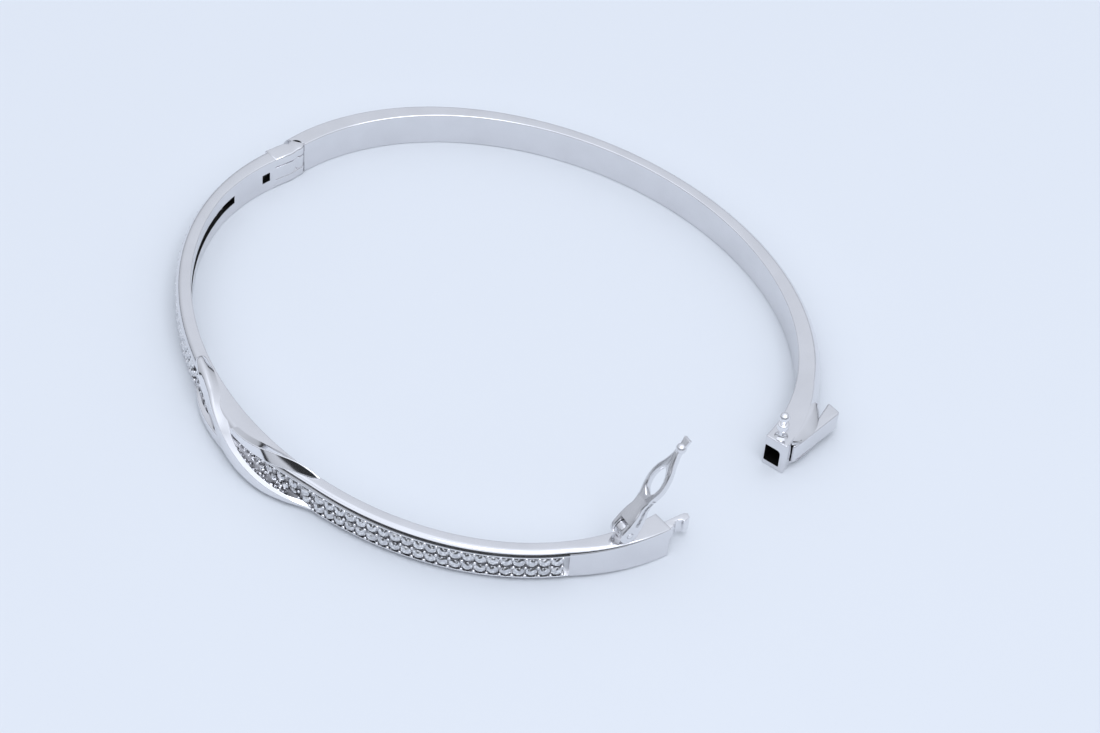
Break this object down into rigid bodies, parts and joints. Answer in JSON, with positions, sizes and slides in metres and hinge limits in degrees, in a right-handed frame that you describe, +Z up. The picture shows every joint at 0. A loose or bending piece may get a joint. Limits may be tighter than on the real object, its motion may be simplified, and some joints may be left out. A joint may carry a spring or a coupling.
{
  "type": "bangle bracelet",
  "caption": "Oval hinged bangle with a stone-set front, a crossed-ribbon knot, a rounded plain back, a box clasp with release lever and a snap-over safety catch.",
  "frame": {"origin": "centre of the oval wrist opening, on the plane the closed bangle rests on", "axes": "+Z up out of the wrist opening; +X towards the clasp and -X towards the hinge; -Y towards the knot at the front and +Y towards the plain back"},
  "size_m": [0.0623, 0.0585, 0.0142],
  "materials": {
    "silver": "mirror-polished plated silver",
    "stone": "clear, round-cut, polished"
  },
  "bodies": {
    "front_half": {"front_shank_hinge_side": "silver", "front_shank_clasp_side": "silver", "clasp_end_block": "silver", "knot_core": "silver", "ribbon_over": "silver", "ribbon_under": "silver", "upper_stones_hinge_side": "stone", "lower_stones_hinge_side": "stone", "upper_stones_clasp_side": "stone", "lower_stones_clasp_side": "stone", "hinge_clevis": "silver", "hinge_pin": "silver", "tongue": "silver", "catch_knuckle": "silver", "catch_pin": "silver", "knot_stones": "stone"},
    "back_half": {"back_band": "silver", "hinge_eye": "silver", "end_box": "silver", "ball_stud": "silver", "lever_pin": "silver"},
    "release_lever": {"release_lever": "silver"},
    "safety_catch": {"safety_arm": "silver"}
  },
  "joints": [
    {"name": "band_hinge", "type": "hinge", "parent": "front_half", "child": "back_half", "pos_m": [-0.02935, 0.00325, 0], "axis": [0, 0, 1], "range_deg": [-14.3, 28]},
    {"name": "lever_pivot", "type": "hinge", "parent": "back_half", "child": "release_lever", "pos_m": [0.03027, 0.01643, 0.002], "axis": [0, 0, 1], "range_deg": [0, 9], "stiffness_Nm_per_rad": 0.01},
    {"name": "catch_pivot", "type": "hinge", "parent": "front_half", "child": "safety_catch", "pos_m": [0.0293, -0.00475, 0.00475], "axis": [0.9861, -0.166, 0], "range_deg": [-58, 80]}
  ]
}
